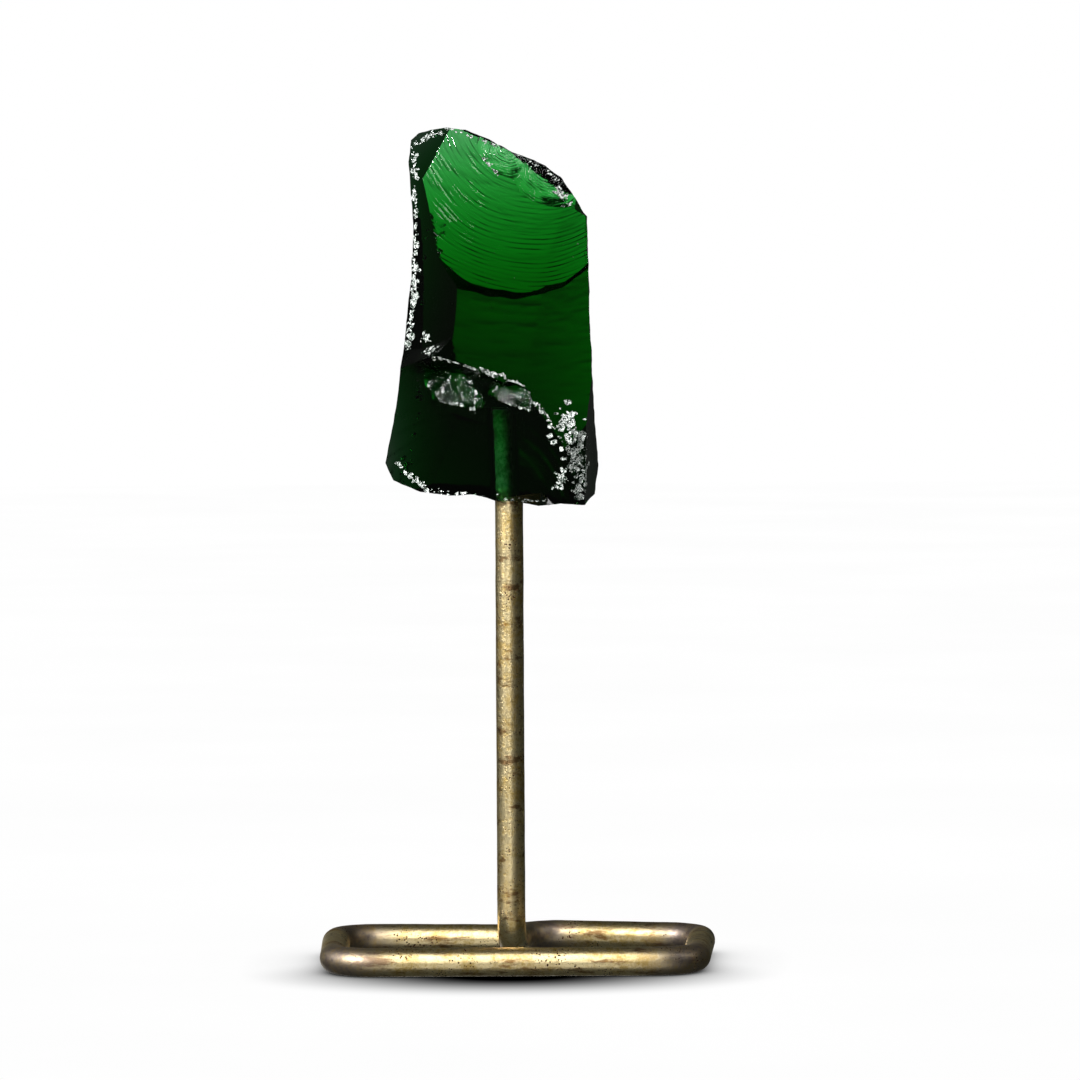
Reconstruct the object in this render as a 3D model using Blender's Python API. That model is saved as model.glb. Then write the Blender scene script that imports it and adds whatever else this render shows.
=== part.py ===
"""A rough chunk of green obsidian fixed on the end of a bent brass wire stand.

Lengths are in millimetres in the named values below and in metres in the scene. X points right, Y
points away from the viewer and Z points up. The working origin is the foot of the upright wire.
"""

import math
import random
from collections import namedtuple

import bmesh
import bpy
from mathutils import Matrix, Vector, noise

MM = 0.001

# Wire stand
WIRE_DIAMETER = 4.25
WIRE_SIDES = 16
WIRE_TOP = 83.5
BEND_RADIUS = 6.0
FOOT_BEND_RADIUS = 5.6
BEND_STEPS = 8
FRONT_BAR_Y = -19.4
FOOT_CORNER = (1.5, 18.6)
BACK_RIGHT = (29.0, 12.4)
FRONT_RIGHT = (27.1, FRONT_BAR_Y)
FRONT_LEFT = (-26.1, FRONT_BAR_Y)
BACK_LEFT = (-26.7, 13.8)
FREE_END = (-1.55, 11.8)

# Stone
STONE_TOP = 125.0
BLANK_FRONT = -13.0
BLANK_BACK = 12.0
HOLE_CLEARANCE = 0.3
HOLE_MOUTH = 60.0
HOLE_TIP = 1.2
HOLE_SIDES = 24
CUTTER_HEIGHT = 30.0
RIM_DEPTH = 5.0
DRIFT_OFFSETS = (Vector((9.3, -1.5, -7.9)), Vector((0.0, 0.0, 0.0)), Vector((-4.6, 7.2, 3.1)))

# The stone's outline from the front, as X and Z, clockwise from the top
OUTLINE = (
    (-9.0, STONE_TOP),
    (-6.3, 124.7),
    (-2.7, 123.2),
    (0.9, 121.3),
    (5.6, 119.4),
    (7.9, 117.6),
    (9.7, 115.0),
    (11.8, 111.5),
    (12.0, 104.5),
    (12.1, 96.5),
    (12.5, 87.1),
    (12.9, 80.0),
    (13.4, 74.5),
    (12.8, 70.2),
    (11.3, 68.9),
    (7.6, 69.0),
    (4.4, 68.5),
    (2.1, 69.0),
    (-2.1, 69.4),
    (-5.1, 70.2),
    (-9.0, 70.0),
    (-13.3, 70.5),
    (-17.4, 72.2),
    (-18.6, 74.8),
    (-17.0, 82.2),
    (-15.6, 92.7),
    (-14.5, 102.7),
    (-14.1, 110.0),
    (-14.8, 120.0),
    (-14.4, 123.3),
    (-13.3, 124.3),
    (-11.6, 124.8),
)

# One cut left by a flake that came off. Its floor faces outward and ripples in rings round the
# point of impact. It dips by bulb under the blow and by dish half way out, and waves by swell in as
# many ripples. It ends after reach in a wall that leans back by lean degrees. Where rim is given,
# as a centre and a radius, the wall follows that circle, and the ripples run on under it. Where bowl
# is given, the floor is a round hollow of that depth instead of a plane, and tip is how far the floor
# sinks from its middle to its upper side, so that its lower side faces up.
Scar = namedtuple(
    "Scar",
    "name impact outward reach bulb dish swell ripples lean sides rings rim bowl tip",
    defaults=(None, 0.0, 0.0),
)

SCARS = (
    Scar("front_face", (3, -3.4, 128), (0.05, -0.985, 0.16), 75, 0, 0.8, 0.10, 12, 45, 40, 36),
    Scar("left_side", (-12.7, 0.9, 121), (-0.80, -0.594, 0.073), 29, 0, 0.9, 0.10, 6, 50, 28, 14),
    Scar("front_scar", (4.9, 1.4, 127.5), (-0.08, -0.965, 0.245), 33, 0.6, 0.5, 0.20, 17, 35, 60, 52,
         ((1.7, -1.5, 115.3), 15.5)),
    Scar("top_left", (-14, 5.6, 125), (-0.5, -0.75, 0.43), 14, 0, 0.4, 0.05, 4, 45, 24, 8),
    Scar("top_flake", (0.2, 1.7, 121.8), (0.08, -0.93, 0.36), 4.7, 0.2, 0.4, 0.06, 4, 35, 28, 10),
    Scar("right_flake", (6.3, 1.5, 118.9), (0.20, -0.925, 0.32), 5.9, 0.3, 0.5, 0.10, 5, 30, 32, 15),
    Scar("right_chip", (10.2, 0.8, 115.2), (0.60, -0.72, 0.35), 2.8, 0.2, 0.2, 0.04, 2, 40, 20, 5),
    Scar("low_scar", (-9.0, -1.4, 64.0), (-0.42, -0.90, -0.10), 24.6, 0, 1.7, 0.10, 7, 38, 48, 22),
    Scar("left_hollow", (-7.9, -2.6, 85.0), (-0.35, -0.935, 0), 3.5, 0, 0, 0.04, 2, 12, 18, 5,
         None, 0.15, 0.95),
    Scar("left_hollow_side", (-10.6, -2.1, 87.0), (-0.4, -0.915, 0), 1.7, 0, 0, 0, 1, 14, 14, 3,
         None, 0.1, 0.5),
    Scar("left_hollow_foot", (-5.2, -4.1, 84.0), (-0.35, -0.935, 0), 1.8, 0, 0, 0, 1, 14, 14, 3,
         None, 0.1, 0.5),
    Scar("right_hollow", (0.8, -7.6, 83.8), (-0.35, -0.935, 0), 2.9, 0, 0, 0.04, 2, 12, 18, 4,
         None, 0.12, 0.8),
    Scar("right_hollow_side", (-1.6, -6.6, 85.2), (-0.35, -0.935, 0), 1.5, 0, 0, 0, 1, 14, 14, 3,
         None, 0.1, 0.4),
    Scar("low_right", (9.5, -9.2, 66), (0.50, -0.86, -0.12), 17, 0, 0.7, 0.10, 4, 35, 28, 10),
    Scar("back_face", (2, 6.2, 128), (0.02, 0.99, 0.08), 46, 1.0, 1.3, 0.22, 10, 30, 44, 30),
    Scar("back_low", (4, 8.8, 64), (0.05, 0.985, -0.16), 30, 0.5, 1.2, 0.18, 7, 35, 36, 20),
    Scar("back_left", (-15.5, 7.0, 68), (-0.52, 0.85, 0.06), 44, 0, 0.8, 0.10, 6, 45, 28, 14),
    Scar("back_right", (12.0, 4.9, 118), (0.28, 0.955, 0.06), 52, 0, 0.9, 0.12, 7, 45, 28, 16),
    Scar("right_face", (12.3, -2, 113), (0.999, 0.0, 0.037), 36, 0, 0.25, 0.06, 5, 45, 28, 12),
    Scar("right_wall", (13.9, -5, 92), (0.97, -0.225, -0.065), 30, 0, 0.5, 0.06, 5, 45, 28, 12),
    Scar("top_back", (-13, 5.6, 127.3), (0.35, 0.45, 0.82), 34, 0, 0.4, 0.08, 5, 45, 28, 10),
    Scar("top_right_back", (6.0, 3.0, 119.3), (0.45, 0.66, 0.60), 6.5, 0, 0.2, 0.05, 3, 45, 24, 6),
    Scar("base_back", (-12, 3.5, 68.2), (-0.05, 0.50, -0.86), 40, 0, 0.5, 0.08, 5, 45, 28, 10),
    Scar("base_front", (-14, -1, 68.6), (-0.10, -0.60, -0.79), 20, 0, 0.4, 0.06, 5, 45, 28, 8),
)

# Small bites along an edge, from one end to the other, with the size of a bite and how many
ChipRow = namedtuple("ChipRow", "name start end size count")

CHIP_ROWS = (
    ChipRow("left_edge_high", (-15.0, 3.6, 120.0), (-14.9, 3.0, 106.0), 0.95, 9),
    ChipRow("left_edge_low", (-14.9, 3.0, 106.0), (-16.3, 1.6, 91.0), 1.15, 11),
    ChipRow("top_edge_high", (-11.8, 2.7, 125.0), (0.9, 1.5, 121.5), 0.95, 8),
    ChipRow("top_edge_low", (0.9, 1.5, 121.5), (9.0, 0.6, 116.5), 0.95, 6),
    ChipRow("ridge_high", (-14.0, -4.0, 92.8), (-1.3, -9.6, 88.6), 1.25, 9),
    ChipRow("ridge_low", (-1.3, -9.6, 88.6), (7.0, -10.4, 81.0), 1.15, 7),
    ChipRow("hollow_foot_left", (-10.6, -3.4, 84.0), (-5.0, -4.4, 82.8), 0.7, 4),
    ChipRow("hollow_foot_right", (-0.2, -7.4, 84.2), (3.0, -8.2, 83.0), 0.6, 3),
    ChipRow("right_crumble", (8.2, -10.6, 83.0), (12.4, -7.4, 71.0), 1.7, 12),
    ChipRow("right_edge", (12.7, -6.0, 94.0), (12.6, -3.0, 108.0), 0.8, 5),
    ChipRow("foot_edge", (-15.5, 0.5, 70.2), (10.5, -6.5, 68.0), 1.0, 9),
)

GLASS_GREEN = (0.015, 0.16, 0.03, 1.0)
BRASS = (0.36, 0.26, 0.10, 1.0)


def clear_scene():
    for thing in list(bpy.data.objects):
        bpy.data.objects.remove(thing, do_unlink=True)


def in_metres(point):
    return Vector(point) * MM


def plain_material(name, colour, metallic, roughness, transmission=0.0):
    material = bpy.data.materials.new(name)
    material.use_nodes = True
    shader = material.node_tree.nodes["Principled BSDF"]
    shader.inputs["Base Color"].default_value = colour
    shader.inputs["Metallic"].default_value = metallic
    shader.inputs["Roughness"].default_value = roughness
    shader.inputs["Transmission Weight"].default_value = transmission
    return material


def mesh_object(name, bm, parent, material=None):
    mesh = bpy.data.meshes.new(name)
    bmesh.ops.recalc_face_normals(bm, faces=bm.faces)
    bm.to_mesh(mesh)
    bm.free()
    piece = bpy.data.objects.new(name, mesh)
    piece.parent = parent
    bpy.context.scene.collection.objects.link(piece)
    if material is not None:
        mesh.materials.append(material)
    return piece


def carve(piece, cutter, solver="EXACT"):
    """Takes the cutter's shape out of the piece."""
    cutter.hide_render = True
    cutter.display_type = "WIRE"
    cut = piece.modifiers.new(cutter.name, "BOOLEAN")
    cut.operation = "DIFFERENCE"
    cut.solver = solver
    cut.object = cutter


# Wire stand


def wire_corners():
    """The corners of the wire's centreline, with the radius of the bend at each."""
    level = WIRE_DIAMETER / 2 * math.cos(math.pi / WIRE_SIDES)
    ground_corners = (FOOT_CORNER, BACK_RIGHT, FRONT_RIGHT, FRONT_LEFT, BACK_LEFT)
    corners = [((0.0, 0.0, level), FOOT_BEND_RADIUS)]
    corners += [((x, y, level), BEND_RADIUS) for x, y in ground_corners]
    return corners, (*FREE_END, level)


def start_ring(bm, heading):
    """The wire's end, as a ring with one flat side towards the way the foot bends."""
    ring = bmesh.ops.create_circle(
        bm, cap_ends=False, segments=WIRE_SIDES, radius=WIRE_DIAMETER / 2 * MM
    )["verts"]
    turn = math.pi / WIRE_SIDES + heading
    place = Matrix.Translation((0, 0, WIRE_TOP * MM)) @ Matrix.Rotation(turn, 4, "Z")
    bmesh.ops.transform(bm, matrix=place, verts=ring)
    return list({edge for vert in ring for edge in vert.link_edges})


def pull_ring(bm, ring, step):
    """Draws the open end of the tube on by one straight run and gives its new end."""
    drawn = bmesh.ops.extrude_edge_only(bm, edges=ring)["geom"]
    verts = [item for item in drawn if isinstance(item, bmesh.types.BMVert)]
    bmesh.ops.translate(bm, verts=verts, vec=step)
    return [item for item in drawn if isinstance(item, bmesh.types.BMEdge)]


def bend_ring(bm, ring, start, along, onward, radius):
    """Turns the open end of the tube round one bend and gives its new end and where it is."""
    angle = along.angle(onward)
    inward = (onward - along * along.dot(onward)).normalized()
    centre = start + inward * radius
    axis = along.cross(onward).normalized()
    turned = bmesh.ops.spin(
        bm, geom=ring, cent=centre, axis=axis, angle=angle, steps=BEND_STEPS
    )["geom_last"]
    end = centre + Matrix.Rotation(angle, 3, axis) @ (start - centre)
    return [item for item in turned if isinstance(item, bmesh.types.BMEdge)], end


def build_wire(parent):
    corners, free_end = wire_corners()
    points = [in_metres(corner) for corner, _ in corners] + [in_metres(free_end)]
    bm = bmesh.new()
    ring = start_ring(bm, -math.atan2(*FOOT_CORNER))
    caps = [ring]
    here = in_metres((0.0, 0.0, WIRE_TOP))
    for index, (_, bend) in enumerate(corners):
        along = (points[index] - here).normalized()
        onward = (points[index + 1] - points[index]).normalized()
        tangent = bend * MM * math.tan(along.angle(onward) / 2)
        bend_start = points[index] - along * tangent
        ring = pull_ring(bm, ring, bend_start - here)
        ring, here = bend_ring(bm, ring, bend_start, along, onward, bend * MM)
    caps.append(pull_ring(bm, ring, points[-1] - here))
    for cap in caps:
        bmesh.ops.edgeloop_fill(bm, edges=cap)
    bmesh.ops.remove_doubles(bm, verts=bm.verts, dist=1e-6)
    wire = mesh_object(
        "wire_stand", bm, parent, plain_material("antique_brass", BRASS, 1.0, 0.35)
    )
    wire.data.shade_smooth()
    wire.data.set_sharp_from_angle(angle=math.radians(40))
    return wire


# Stone


def build_blank(parent):
    """The outline as a thick slab, before any flake comes off."""
    bm = bmesh.new()
    front = [bm.verts.new(in_metres((x, BLANK_FRONT, z))) for x, z in OUTLINE]
    face = bm.faces.new(front)
    slab = bmesh.ops.extrude_face_region(bm, geom=[face])["geom"]
    back = [item for item in slab if isinstance(item, bmesh.types.BMVert)]
    bmesh.ops.translate(bm, verts=back, vec=in_metres((0, BLANK_BACK - BLANK_FRONT, 0)))
    glass = plain_material("green_glass", GLASS_GREEN, 0.0, 0.08, 0.6)
    return mesh_object("stone", bm, parent, glass)


def floor_height(scar, radius):
    """How high the scar's floor lies over its plane, at a distance from the impact."""
    share = radius / scar.reach
    under_blow = scar.bulb * math.exp(-((share / 0.22) ** 2))
    hollow = scar.dish * 4 * share * (1 - share) + scar.bowl * (1 - share * share)
    wave = scar.swell * math.sqrt(share) * math.sin(math.tau * scar.ripples * share)
    return wave - under_blow - hollow


def scar_profile(scar):
    """The half section of the cutter, from its axis out to the wall and back to the axis."""
    radii = [scar.reach * ring / scar.rings for ring in range(scar.rings + 1)]
    section = [(radius, floor_height(scar, radius)) for radius in radii]
    spread = CUTTER_HEIGHT * math.tan(math.radians(scar.lean))
    section += [(scar.reach + spread, CUTTER_HEIGHT), (0.0, CUTTER_HEIGHT)]
    return section


def drift_at(place):
    """Three readings of the noise, far apart, as one slow drift along X, Y and Z."""
    return Vector([noise.noise(place + offset) for offset in DRIFT_OFFSETS])


def bend_out_of_round(bm, scar, seed):
    """Shifts the ripples sideways a little, as real ones are not perfect rings."""
    for vert in bm.verts:
        if vert.co.z < CUTTER_HEIGHT * MM * 0.5:
            place = vert.co * (2.2 / (scar.reach * MM)) + Vector((seed, 0, 0))
            drift = drift_at(place) * scar.reach * MM * 0.035
            vert.co += Vector((drift.x, drift.y, drift.z * 0.25))


def tip_floor(bm, scar):
    """Sinks the floor's upper side and raises its lower one."""
    for vert in bm.verts:
        if vert.co.z < CUTTER_HEIGHT * MM * 0.5:
            vert.co.z -= scar.tip * vert.co.y / scar.reach


def face_outward(cutter, point, outward):
    """Sets a cutter at a point of the stone with its own Z axis along the outward direction."""
    cutter.rotation_mode = "QUATERNION"
    cutter.rotation_quaternion = Vector(outward).normalized().to_track_quat("Z", "Y")
    cutter.location = in_metres(point)


def rim_keeper(scar, parent):
    """The flared plug that a scar with its own rim is trimmed to."""
    centre, radius = scar.rim
    slope = math.tan(math.radians(scar.lean))
    bm = bmesh.new()
    bmesh.ops.create_cone(
        bm,
        cap_ends=True,
        segments=scar.sides,
        radius1=(radius - RIM_DEPTH * slope) * MM,
        radius2=(radius + CUTTER_HEIGHT * slope) * MM,
        depth=(RIM_DEPTH + CUTTER_HEIGHT) * MM,
    )
    middle = (CUTTER_HEIGHT - RIM_DEPTH) / 2
    bmesh.ops.translate(bm, verts=bm.verts, vec=in_metres((0, 0, middle)))
    keeper = mesh_object("rim_" + scar.name, bm, parent)
    keeper.hide_render = True
    keeper.display_type = "WIRE"
    face_outward(keeper, centre, scar.outward)
    return keeper


def scar_cutter(scar, seed, parent):
    """A turned body whose underside is the scar's floor, set at the impact and facing in."""
    bm = bmesh.new()
    verts = [bm.verts.new(in_metres((r, 0, height))) for r, height in scar_profile(scar)]
    edges = [bm.edges.new(pair) for pair in zip(verts, verts[1:])]
    bmesh.ops.spin(
        bm,
        geom=verts + edges,
        cent=(0, 0, 0),
        axis=(0, 0, 1),
        angle=math.tau,
        steps=scar.sides,
        use_merge=True,
    )
    bmesh.ops.remove_doubles(bm, verts=bm.verts, dist=1e-6)
    tip_floor(bm, scar)
    bend_out_of_round(bm, scar, seed)
    bmesh.ops.triangulate(bm, faces=bm.faces)
    cutter = mesh_object("cut_" + scar.name, bm, parent)
    face_outward(cutter, scar.impact, scar.outward)
    if scar.rim is not None:
        trim = cutter.modifiers.new("rim", "BOOLEAN")
        trim.operation = "INTERSECT"
        trim.solver = "EXACT"
        trim.object = rim_keeper(scar, parent)
    return cutter


def chip_cutters(row, chance, parent):
    """The bites of one row, as small tilted lumps spread along the edge."""
    start = Vector(row.start)
    end = Vector(row.end)
    for number in range(row.count):
        share = (number + chance.uniform(0.2, 0.8)) / row.count
        off_line = Vector([chance.uniform(-0.3, 0.3) * row.size for _ in range(3)])
        bm = bmesh.new()
        lump = bmesh.ops.create_icosphere(bm, subdivisions=1, radius=row.size * MM)
        for vert in lump["verts"]:
            vert.co *= chance.uniform(0.75, 1.2)
        stretch = (chance.uniform(1.0, 1.8), chance.uniform(0.7, 1.1), chance.uniform(0.4, 0.8))
        bmesh.ops.scale(bm, verts=lump["verts"], vec=stretch)
        cutter = mesh_object(f"cut_{row.name}_{number}", bm, parent)
        cutter.rotation_euler = [chance.uniform(0, math.tau) for _ in range(3)]
        cutter.location = (start.lerp(end, share) + off_line) * MM
        yield cutter


def hole_cutter(parent):
    """The drilled hole that the wire's top end sits in, with the drill's pointed end."""
    radius = (WIRE_DIAMETER / 2 + HOLE_CLEARANCE) * MM
    floor = WIRE_TOP + HOLE_CLEARANCE
    bm = bmesh.new()
    section = (
        (0.0, 0.0, HOLE_MOUTH * MM),
        (radius, 0.0, HOLE_MOUTH * MM),
        (radius, 0.0, floor * MM),
        (0.0, 0.0, (floor + HOLE_TIP) * MM),
    )
    verts = [bm.verts.new(point) for point in section]
    edges = [bm.edges.new(pair) for pair in zip(verts, verts[1:])]
    bmesh.ops.spin(
        bm,
        geom=verts + edges,
        cent=(0, 0, 0),
        axis=(0, 0, 1),
        angle=math.tau,
        steps=HOLE_SIDES,
        use_merge=True,
    )
    bmesh.ops.remove_doubles(bm, verts=bm.verts, dist=1e-6)
    return mesh_object("cut_hole", bm, parent)


def build_stone(parent):
    chance = random.Random(7)
    stone = build_blank(parent)
    for number, scar in enumerate(SCARS):
        carve(stone, scar_cutter(scar, 5.0 * number, parent))
    for row in CHIP_ROWS:
        for cutter in chip_cutters(row, chance, parent):
            carve(stone, cutter)
    carve(stone, hole_cutter(parent))
    return stone


def centre_on_base(foot, wire):
    """Moves the whole object so that the middle of its base box is at the origin."""
    corners = [Vector(corner) for corner in wire.bound_box]
    for axis in range(2):
        values = [corner[axis] for corner in corners]
        foot.location[axis] = -(min(values) + max(values)) / 2


def main():
    clear_scene()
    foot = bpy.data.objects.new("upright_foot", None)
    bpy.context.scene.collection.objects.link(foot)
    wire = build_wire(foot)
    build_stone(foot)
    centre_on_base(foot, wire)


main()
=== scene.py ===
"""Green obsidian chunk on its bent brass wire stand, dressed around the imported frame.

The stone is built again from the frame's own forms with finer fracture ripples and crumbled edges,
and the wire with a round section and small dents. Lengths in the classes below are millimetres
measured from the foot of the upright wire. Every finished mesh is in metres in the frame's space.
"""

import logging
import math
import random
from collections.abc import Iterable, Iterator
from dataclasses import dataclass, field
from enum import Enum
from typing import ClassVar

import bmesh
import bpy
from mathutils import Matrix, Vector, noise
from mathutils.bvhtree import BVHTree


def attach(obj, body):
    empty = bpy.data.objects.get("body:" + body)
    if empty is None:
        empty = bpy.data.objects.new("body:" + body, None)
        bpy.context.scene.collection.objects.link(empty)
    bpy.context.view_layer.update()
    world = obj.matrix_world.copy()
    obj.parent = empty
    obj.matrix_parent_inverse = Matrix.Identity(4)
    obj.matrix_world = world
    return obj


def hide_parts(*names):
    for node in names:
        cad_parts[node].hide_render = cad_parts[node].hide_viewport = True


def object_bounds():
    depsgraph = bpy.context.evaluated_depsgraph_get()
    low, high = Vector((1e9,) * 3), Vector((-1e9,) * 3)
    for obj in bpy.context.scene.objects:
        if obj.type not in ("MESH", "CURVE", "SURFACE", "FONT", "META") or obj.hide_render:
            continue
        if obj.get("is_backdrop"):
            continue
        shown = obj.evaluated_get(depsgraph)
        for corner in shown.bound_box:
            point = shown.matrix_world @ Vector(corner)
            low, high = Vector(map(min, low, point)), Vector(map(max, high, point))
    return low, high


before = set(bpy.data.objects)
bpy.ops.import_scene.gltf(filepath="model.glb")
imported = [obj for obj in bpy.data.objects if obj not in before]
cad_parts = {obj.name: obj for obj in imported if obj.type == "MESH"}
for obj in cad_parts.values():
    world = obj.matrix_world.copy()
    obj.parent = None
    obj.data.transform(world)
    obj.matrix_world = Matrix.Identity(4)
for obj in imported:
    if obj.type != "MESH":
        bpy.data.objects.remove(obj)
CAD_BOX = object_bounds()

LOG = logging.getLogger("obsidian")
MM = 0.001
UPRIGHT_AXIS = (-1.056, 1.087)
JOIN = 1e-4
DRIFT_OFFSETS = (Vector((9.3, -1.5, -7.9)), Vector((0.0, 0.0, 0.0)), Vector((-4.6, 7.2, 3.1)))
WHITE = (1.0, 1.0, 1.0, 1.0)

Point = tuple[float, float, float]
Colour = tuple[float, float, float, float]
Span = tuple[float, float]


class Slot(Enum):
    """The record's material slots."""

    GLASS = "green_glass"
    BRASS = "antique_brass"


class Carving(Enum):
    """What a cutter does to a piece."""

    TAKE_OUT = "DIFFERENCE"
    KEEP_ONLY = "INTERSECT"


# Mesh helpers


def to_frame() -> Matrix:
    """Gives the transform from millimetres at the upright's foot to metres in the frame.

    Returns:
        The 4 by 4 matrix.
    """
    return Matrix.Scale(MM, 4) @ Matrix.Translation((*UPRIGHT_AXIS, 0.0))


def new_piece(name: str, bm: bmesh.types.BMesh) -> bpy.types.Object:
    """Makes an object of a bmesh and frees the bmesh.

    Args:
        name: the object's name.
        bm: the finished bmesh.

    Returns:
        The object, linked to the scene.
    """
    mesh = bpy.data.meshes.new(name)
    bm.to_mesh(mesh)
    bm.free()
    piece = bpy.data.objects.new(name, mesh)
    bpy.context.scene.collection.objects.link(piece)
    return piece


def closed_piece(name: str, bm: bmesh.types.BMesh, placed: Matrix | None = None) -> bpy.types.Object:
    """Makes an object of a closed surface, in triangles that face outward.

    Args:
        name: the object's name.
        bm: the closed surface.
        placed: the transform that puts it in place, where it isn't there yet.

    Returns:
        The object.
    """
    bmesh.ops.triangulate(bm, faces=bm.faces)
    bmesh.ops.recalc_face_normals(bm, faces=bm.faces)
    if placed is not None:
        bmesh.ops.transform(bm, matrix=placed, verts=bm.verts)
    return new_piece(name, bm)


def surface_tree(piece: bpy.types.Object) -> BVHTree:
    """Gives a search tree of a piece's surface as it is now.

    Args:
        piece: the object.

    Returns:
        The tree.
    """
    bm = bmesh.new()
    bm.from_mesh(piece.data)
    tree = BVHTree.FromBMesh(bm)
    bm.free()
    return tree


def carve(piece: bpy.types.Object, cutter: bpy.types.Object, carving: Carving = Carving.TAKE_OUT) -> None:
    """Applies one Boolean to a piece and removes the cutter.

    Args:
        piece: the object that is changed.
        cutter: the object that cuts it.
        carving: what the cutter does.
    """
    cut = piece.modifiers.new("cut", "BOOLEAN")
    cut.operation = carving.value
    cut.solver = "MANIFOLD"
    cut.object = cutter
    graph = bpy.context.evaluated_depsgraph_get()
    carved = bpy.data.meshes.new_from_object(piece.evaluated_get(graph))
    piece.modifiers.clear()
    old = piece.data
    piece.data = carved
    bpy.data.meshes.remove(old)
    bpy.data.objects.remove(cutter, do_unlink=True)


def turn_full(
    bm: bmesh.types.BMesh, section: list[bmesh.types.BMVert | bmesh.types.BMEdge], steps: int
) -> None:
    """Turns a section once round the Z axis and joins it up.

    Args:
        bm: the mesh that holds the section.
        section: its points and edges.
        steps: how many sides the turned form has.
    """
    bmesh.ops.spin(
        bm, geom=section, cent=(0, 0, 0), axis=(0, 0, 1), angle=math.tau, steps=steps, use_merge=True
    )
    bmesh.ops.remove_doubles(bm, verts=bm.verts, dist=JOIN)


def aim(point: Point, outward: Point) -> Matrix:
    """Gives the transform that sets a cutter at a point with its own Z along a direction.

    Args:
        point: where the cutter's origin goes.
        outward: the direction of its Z axis.

    Returns:
        The 4 by 4 matrix.
    """
    turn = Vector(outward).normalized().to_track_quat("Z", "Y").to_matrix().to_4x4()
    return Matrix.Translation(point) @ turn


def drift_at(place: Vector) -> Vector:
    """Reads the noise three times, far apart, as one slow drift.

    Args:
        place: where it is read.

    Returns:
        The drift along X, Y and Z, each from about -1 to 1.
    """
    return Vector([noise.noise(place + offset) for offset in DRIFT_OFFSETS])


# Shader helpers


class NodeTree:
    """A thin wrapper that adds nodes to a node tree and links them in one call."""

    def __init__(self, tree: bpy.types.NodeTree) -> None:
        """Keeps the tree.

        Args:
            tree: a material's, world's or group's tree.
        """
        self.tree = tree

    def add(self, kind: str, **settings: object) -> bpy.types.Node:
        """Adds a node.

        Args:
            kind: the node's type name.
            settings: properties of the node to set.

        Returns:
            The node.
        """
        node = self.tree.nodes.new(kind)
        for name, value in settings.items():
            setattr(node, name, value)
        return node

    def feed(self, node: bpy.types.Node, **inputs: object) -> bpy.types.Node:
        """Sets or links a node's inputs by name, with underscores for spaces.

        Args:
            node: the node that is fed.
            inputs: for each input a value, or the output socket that feeds it.

        Returns:
            The same node.
        """
        for name, value in inputs.items():
            key = int(name[1:]) if name[0] == "i" and name[1:].isdigit() else name.replace("_", " ")
            if isinstance(value, bpy.types.NodeSocket):
                self.tree.links.new(value, node.inputs[key])
            else:
                node.inputs[key].default_value = value
        return node

    def group(
        self, effect: bpy.types.NodeTree, place: bpy.types.NodeSocket, **inputs: object
    ) -> bpy.types.Node:
        """Adds a shared effect, read at a place.

        Args:
            effect: the node group.
            place: the socket with the place.
            inputs: the group's own inputs.

        Returns:
            The group node.
        """
        return self.feed(self.add("ShaderNodeGroup", node_tree=effect), Vector=place, **inputs)

    def maths(
        self, operation: str, first: object, second: object = 0.0, clamp: bool = False
    ) -> bpy.types.NodeSocket:
        """Adds a Math node.

        Args:
            operation: the node's operation.
            first: a number or a socket.
            second: a number or a socket.
            clamp: keeps the result from 0 to 1.

        Returns:
            Its output socket.
        """
        node = self.add("ShaderNodeMath", operation=operation, use_clamp=clamp)
        return self.feed(node, i0=first, i1=second).outputs[0]

    def spread(
        self, value: object, low: float, high: float, start: float = 0.0, end: float = 1.0
    ) -> bpy.types.NodeSocket:
        """Adds a smooth Map Range node.

        Args:
            value: the socket that is mapped.
            low: the input that gives start.
            high: the input that gives end.
            start: the output at low.
            end: the output at high.

        Returns:
            Its output socket.
        """
        node = self.add("ShaderNodeMapRange", interpolation_type="SMOOTHSTEP")
        return self.feed(node, Value=value, From_Min=low, From_Max=high, To_Min=start, To_Max=end).outputs[0]

    def blend(self, share: object, first: object, second: object, mode: str = "MIX") -> bpy.types.NodeSocket:
        """Adds a colour Mix node.

        Args:
            share: how much of the second colour shows.
            first: a colour or a socket.
            second: a colour or a socket.
            mode: the blend type.

        Returns:
            Its colour output.
        """
        node = self.add("ShaderNodeMix", data_type="RGBA", blend_type=mode)
        return self.feed(node, i0=share, i6=first, i7=second).outputs[2]


def new_material(name: str) -> tuple[bpy.types.Material, NodeTree, bpy.types.Node, bpy.types.NodeSocket]:
    """Starts a material that is laid out by the object's own coordinates.

    Args:
        name: the material's name.

    Returns:
        The material, its wrapped tree, its main shader and the socket with the place.
    """
    material = bpy.data.materials.new(name)
    material.use_nodes = True
    net = NodeTree(material.node_tree)
    place = net.add("ShaderNodeTexCoord").outputs["Object"]
    return material, net, net.tree.nodes["Principled BSDF"], place


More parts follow.
